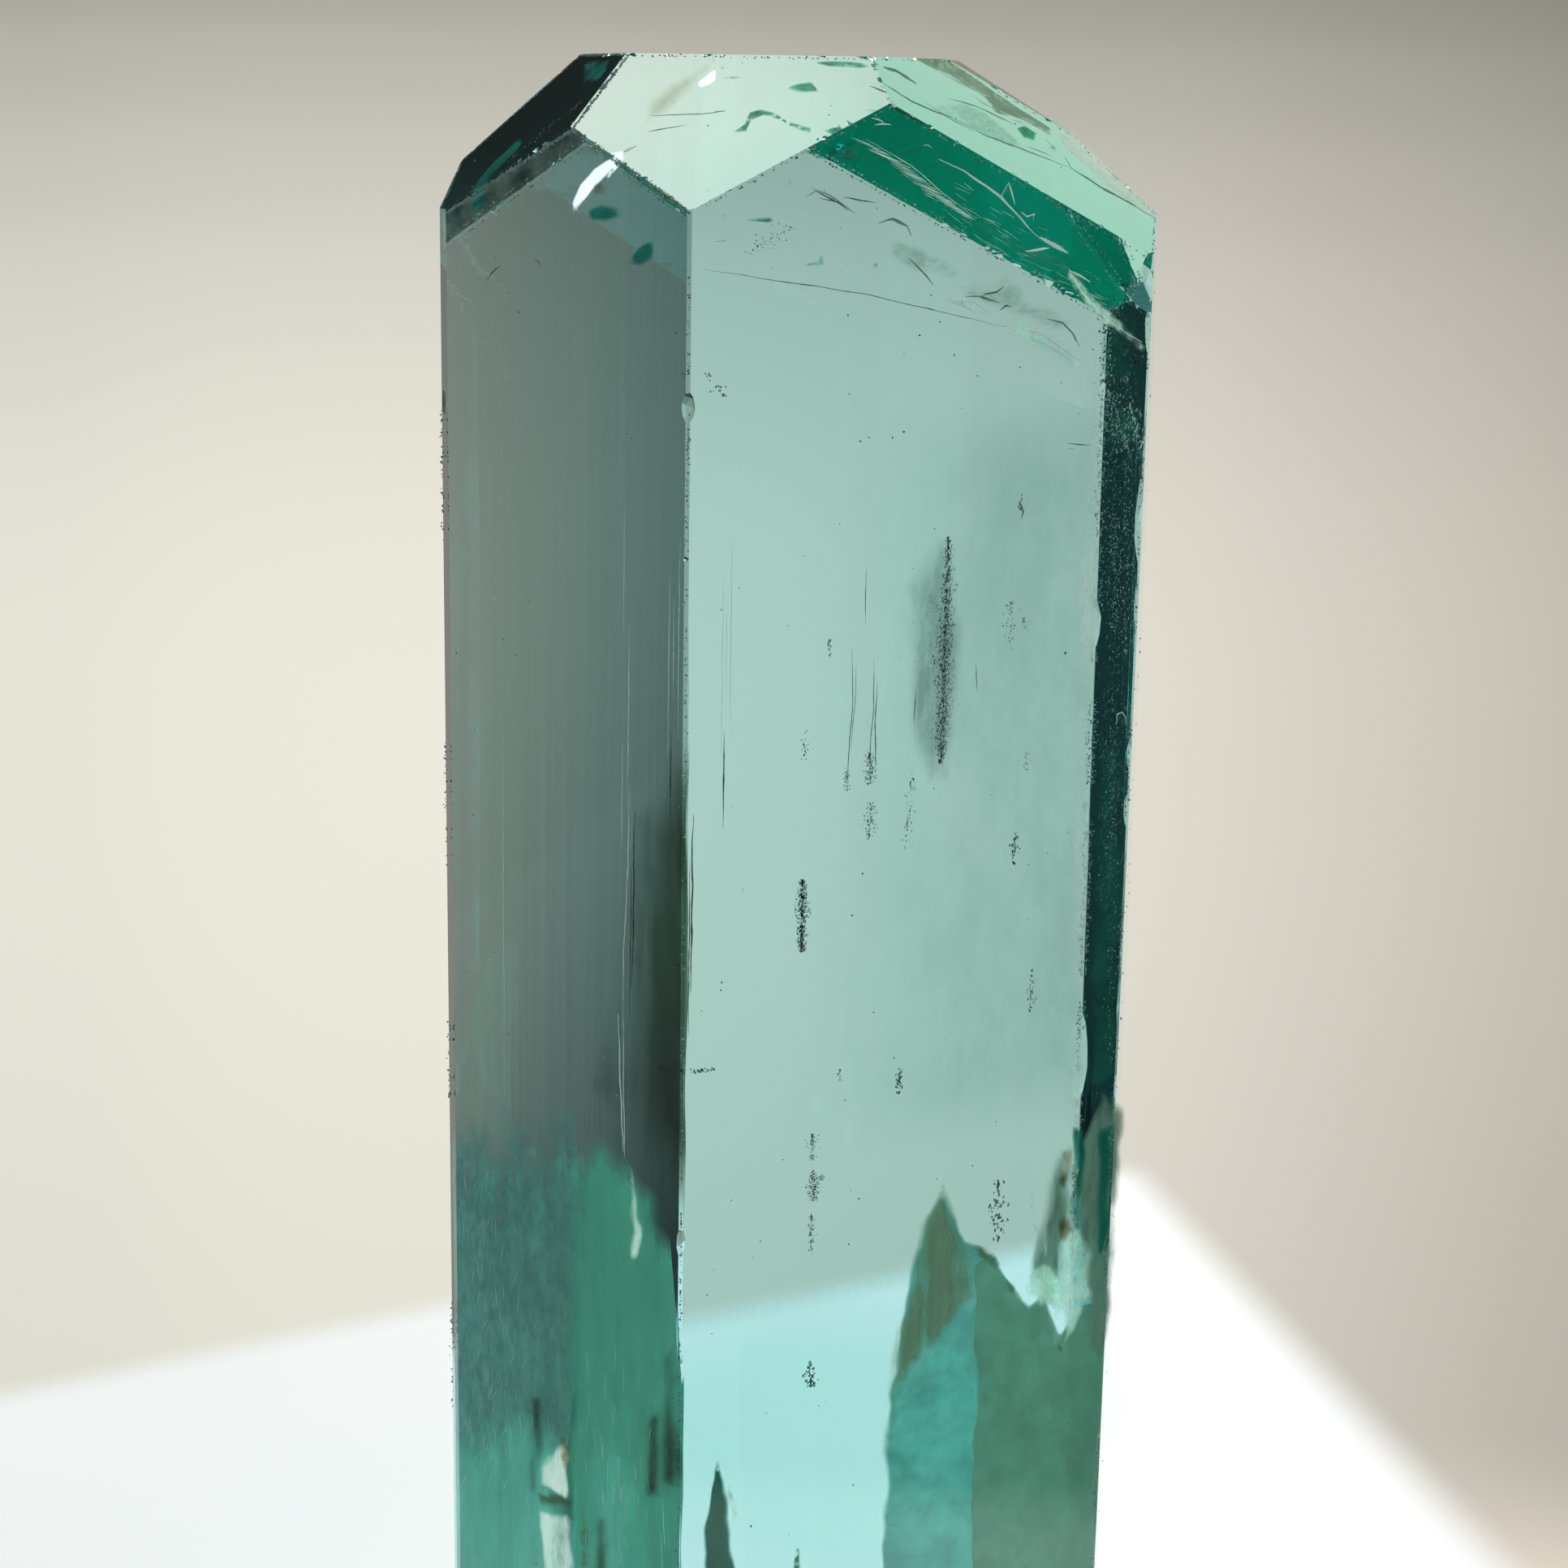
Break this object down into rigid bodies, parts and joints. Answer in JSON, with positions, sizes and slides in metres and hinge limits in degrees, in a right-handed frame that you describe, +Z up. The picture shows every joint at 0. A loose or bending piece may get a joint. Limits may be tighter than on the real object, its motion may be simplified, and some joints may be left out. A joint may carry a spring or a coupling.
{
  "type": "emerald crystal",
  "caption": "Upright six-sided emerald crystal, clear blue-green, with a flat bevelled tip, worn edges and a flat root cut to stand on.",
  "frame": {"origin": "middle of the crystal's footprint, on the surface that it stands on", "axes": "+Z up along the crystal's length towards the bevelled tip, -Y towards the edge between the two front faces, +X to the right of it"},
  "size_m": [0.013, 0.0126, 0.034],
  "materials": {
    "emerald": "clear blue-green beryl with polished-looking natural faces, worn edges and a matt root cut"
  },
  "bodies": {
    "root": {"emerald_crystal": "emerald"}
  },
  "joints": []
}
